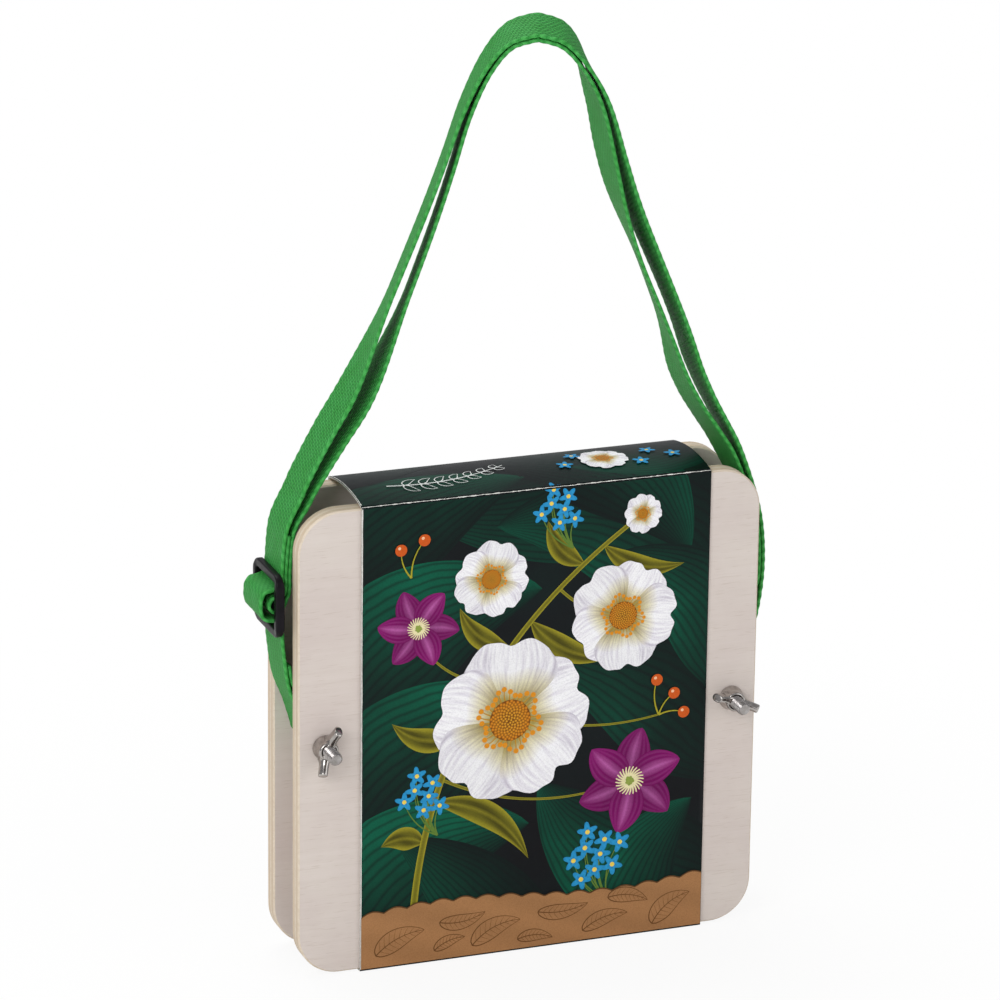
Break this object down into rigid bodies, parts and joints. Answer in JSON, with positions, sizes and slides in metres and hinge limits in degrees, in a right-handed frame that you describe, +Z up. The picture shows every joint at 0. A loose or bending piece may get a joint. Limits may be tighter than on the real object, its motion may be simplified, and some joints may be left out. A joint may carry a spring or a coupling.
{
  "type": "flower press",
  "caption": "Square wooden flower press: plywood boards clamped by bolts and wing nuts over blotting sheets, with a card sleeve and a webbing carrying strap.",
  "frame": {"origin": "on the underside of the sleeve's bottom panel, under the middle of the boards, half way between the boards' outer faces", "axes": "+X across the boards to the viewer's right, +Y from the wing nuts to the bolt heads, +Z up along the strap"},
  "size_m": [0.1983, 0.0528, 0.3527],
  "materials": {
    "plywood": "sanded birch or poplar plywood, unvarnished",
    "zinc_bolt": "bright zinc plated",
    "zinc_nut": "bright nickel plated casting",
    "corrugated_card": "brown corrugated card",
    "blotting_paper": "soft absorbent paper",
    "sleeve_card": "printed and gloss coated card",
    "webbing": "woven polypropylene webbing",
    "slider_plastic": "moulded acetal"
  },
  "bodies": {
    "press_base": {"back_board": "plywood", "bolt_left": "zinc_bolt", "bolt_right": "zinc_bolt", "card_1": "corrugated_card", "blotter_1": "blotting_paper", "sleeve_back": "sleeve_card", "strap_anchor_right": "webbing", "strap_anchor_left": "webbing", "strap_bend_right": "webbing", "strap_bend_left": "webbing", "strap_slider_pass": "webbing", "strap_sewn_end": "webbing"},
    "front_board": {"front_board": "plywood", "card_6": "corrugated_card", "blotter_10": "blotting_paper"},
    "sheets_2": {"blotter_2": "blotting_paper", "card_2": "corrugated_card", "blotter_3": "blotting_paper"},
    "sheets_3": {"blotter_4": "blotting_paper", "card_3": "corrugated_card", "blotter_5": "blotting_paper"},
    "sheets_4": {"blotter_6": "blotting_paper", "card_4": "corrugated_card", "blotter_7": "blotting_paper"},
    "sheets_5": {"blotter_8": "blotting_paper", "card_5": "corrugated_card", "blotter_9": "blotting_paper"},
    "wing_nut_left": {"wing_nut_left": "zinc_nut"},
    "wing_nut_right": {"wing_nut_right": "zinc_nut"},
    "sleeve": {"sleeve_front": "sleeve_card", "sleeve_top": "sleeve_card", "sleeve_bottom": "sleeve_card"},
    "strap": {"strap_loop_outer": "webbing", "strap_loop_inner": "webbing"},
    "slider": {"strap_slider": "slider_plastic"}
  },
  "joints": [
    {"name": "press_open", "type": "slide", "parent": "press_base", "child": "front_board", "axis": [0, -1, 0], "range_m": [0, 0.007]},
    {"name": "sheets_2_spread", "type": "slide", "parent": "press_base", "child": "sheets_2", "axis": [0, -1, 0], "range_m": [0, 0.0014]},
    {"name": "sheets_3_spread", "type": "slide", "parent": "press_base", "child": "sheets_3", "axis": [0, -1, 0], "range_m": [0, 0.0028]},
    {"name": "sheets_4_spread", "type": "slide", "parent": "press_base", "child": "sheets_4", "axis": [0, -1, 0], "range_m": [0, 0.0042]},
    {"name": "sheets_5_spread", "type": "slide", "parent": "press_base", "child": "sheets_5", "axis": [0, -1, 0], "range_m": [0, 0.0056]},
    {"name": "nut_left_turn", "type": "hinge", "parent": "front_board", "child": "wing_nut_left", "pos_m": [-0.08, -0.018, 0.0908], "axis": [0, -1, 0], "range_deg": [0, 3151]},
    {"name": "nut_right_turn", "type": "hinge", "parent": "front_board", "child": "wing_nut_right", "pos_m": [0.08, -0.018, 0.0908], "axis": [0, -1, 0], "range_deg": [0, 3151]},
    {"name": "sleeve_off", "type": "slide", "parent": "front_board", "child": "sleeve", "axis": [0, -1, 0], "range_m": [0, 0.045]},
    {"name": "strap_fold", "type": "hinge", "parent": "press_base", "child": "strap", "pos_m": [0, 0, 0.1963], "axis": [1, 0, 0], "range_deg": [-90, 90], "deforming": ["strap_bend_right", "strap_bend_left"]},
    {"name": "slider_shift", "type": "slide", "parent": "press_base", "child": "slider", "axis": [0, 0, 1], "range_m": [0, 0.018], "deforming": ["strap_slider_pass", "strap_sewn_end"]}
  ],
  "couplings": [
    {"joint": "sheets_2_spread", "follows": "press_open", "ratio": 0.2},
    {"joint": "sheets_3_spread", "follows": "press_open", "ratio": 0.4},
    {"joint": "sheets_4_spread", "follows": "press_open", "ratio": 0.6},
    {"joint": "sheets_5_spread", "follows": "press_open", "ratio": 0.8},
    {"joint": "nut_left_turn", "follows": "press_open", "rad_per_m": 7854},
    {"joint": "nut_right_turn", "follows": "press_open", "rad_per_m": 7854}
  ]
}
